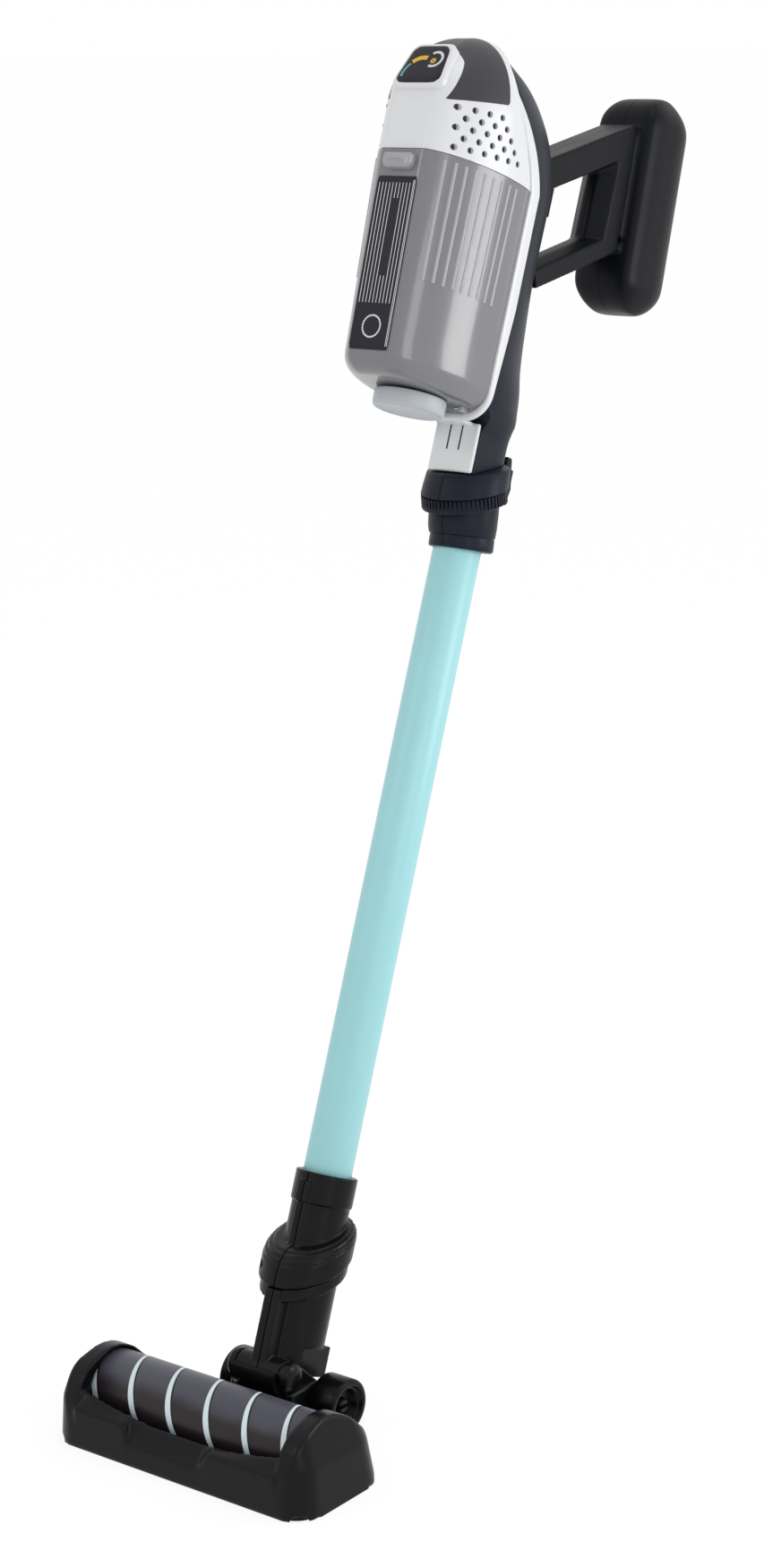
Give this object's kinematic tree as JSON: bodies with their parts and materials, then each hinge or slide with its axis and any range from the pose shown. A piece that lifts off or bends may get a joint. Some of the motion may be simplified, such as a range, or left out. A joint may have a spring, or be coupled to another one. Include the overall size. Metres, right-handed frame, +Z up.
{
  "type": "toy stick vacuum cleaner",
  "caption": "Toy cordless stick vacuum: floor head with a striped roller and rear wheels, jointed neck, slim tube, and hand unit with a hinged dust cup and loop handle.",
  "frame": {"origin": "middle of the floor head's sole, on the floor", "axes": "+X across the head to the right seen from the front, +Y to the rear, +Z up"},
  "size_m": [0.17, 0.454, 0.708],
  "materials": {
    "black_plastic": "moulded, satin",
    "wheel_plastic": "moulded, satin",
    "slate_plastic": "moulded, satin",
    "navy_plastic": "moulded, satin",
    "white_plastic": "moulded, semi-gloss",
    "turquoise_plastic": "extruded, satin",
    "smoke_plastic": "smoky translucent, glossy",
    "pale_grey_plastic": "moulded, satin",
    "panel_grey_plastic": "moulded, satin",
    "display_gloss": null,
    "label_print": null,
    "printed_sleeve": "printed film with pale stripes",
    "steel": "zinc plated"
  },
  "bodies": {
    "floor_head": {"head_shell": "black_plastic", "sole_plate": "black_plastic", "sole_screws": "steel", "roller_bushes": "pale_grey_plastic", "wheel_bracket": "black_plastic", "bracket_screws": "steel", "neck_hinge_pin": "steel"},
    "roller": {"roller_core": "black_plastic", "roller_sleeve": "printed_sleeve"},
    "wheel_left": {"wheel_left": "wheel_plastic"},
    "wheel_right": {"wheel_right": "wheel_plastic"},
    "neck_foot": {"neck_foot_left": "black_plastic", "neck_foot_right": "black_plastic", "neck_foot_screws": "steel"},
    "wand": {"neck_top_left": "black_plastic", "neck_top_right": "black_plastic", "neck_top_screws": "steel", "tube": "turquoise_plastic", "cuff_left": "slate_plastic", "cuff_right": "slate_plastic", "cuff_screws": "steel", "release_spring": "steel"},
    "release_button": {"release_button": "slate_plastic"},
    "hand_unit": {"front_casing": "white_plastic", "shoulder_panel": "panel_grey_plastic", "display_panel": "display_gloss", "nozzle": "navy_plastic", "rear_casing_left": "slate_plastic", "rear_casing_right": "slate_plastic", "handle_left": "navy_plastic", "handle_right": "navy_plastic", "handle_screws": "steel", "trigger_pin": "steel", "cup_hinge_pins": "steel"},
    "trigger": {"trigger": "navy_plastic"},
    "dust_cup": {"dust_cup": "smoke_plastic", "cup_label": "label_print"},
    "cup_cap": {"cup_cap": "pale_grey_plastic"},
    "cup_latch": {"cup_latch": "smoke_plastic"}
  },
  "joints": [
    {"name": "roller_spin", "type": "hinge", "parent": "floor_head", "child": "roller", "pos_m": [0, -0.001, 0.023], "axis": [1, 0, 0], "continuous": true},
    {"name": "wheel_left_spin", "type": "hinge", "parent": "floor_head", "child": "wheel_left", "pos_m": [-0.03, 0.062, 0.015], "axis": [1, 0, 0], "continuous": true},
    {"name": "wheel_right_spin", "type": "hinge", "parent": "floor_head", "child": "wheel_right", "pos_m": [0.03, 0.062, 0.015], "axis": [1, 0, 0], "continuous": true},
    {"name": "neck_pitch", "type": "hinge", "parent": "floor_head", "child": "neck_foot", "pos_m": [0, 0.04, 0.0345], "axis": [-1, 0, 0], "range_deg": [-20, 30]},
    {"name": "neck_swivel", "type": "hinge", "parent": "neck_foot", "child": "wand", "pos_m": [0, 0.0783, 0.08153], "axis": [0, -0.1582, 0.9874], "range_deg": [-45, 45]},
    {"name": "release_press", "type": "slide", "parent": "wand", "child": "release_button", "axis": [0, -0.9342, 0.3567], "range_m": [0, 0.0025], "stiffness_N_per_m": 400},
    {"name": "unit_pull_off", "type": "slide", "parent": "wand", "child": "hand_unit", "axis": [0, 0.3567, 0.9342], "range_m": [0, 0.045]},
    {"name": "trigger_pull", "type": "hinge", "parent": "hand_unit", "child": "trigger", "pos_m": [0, 0.29682, 0.62996], "axis": [1, 0, 0], "range_deg": [0, 10], "stiffness_Nm_per_rad": 0.4},
    {"name": "cup_swing", "type": "hinge", "parent": "hand_unit", "child": "dust_cup", "pos_m": [0, 0.1948, 0.52173], "axis": [1, 0, 0], "range_deg": [0, 25]},
    {"name": "cap_turn", "type": "hinge", "parent": "dust_cup", "child": "cup_cap", "pos_m": [0, 0.17638, 0.5262], "axis": [0, 0.3567, 0.9342], "range_deg": [0, 90]},
    {"name": "latch_press", "type": "slide", "parent": "dust_cup", "child": "cup_latch", "axis": [0, 0.9342, -0.3567], "range_m": [0, 0.002], "stiffness_N_per_m": 400}
  ]
}
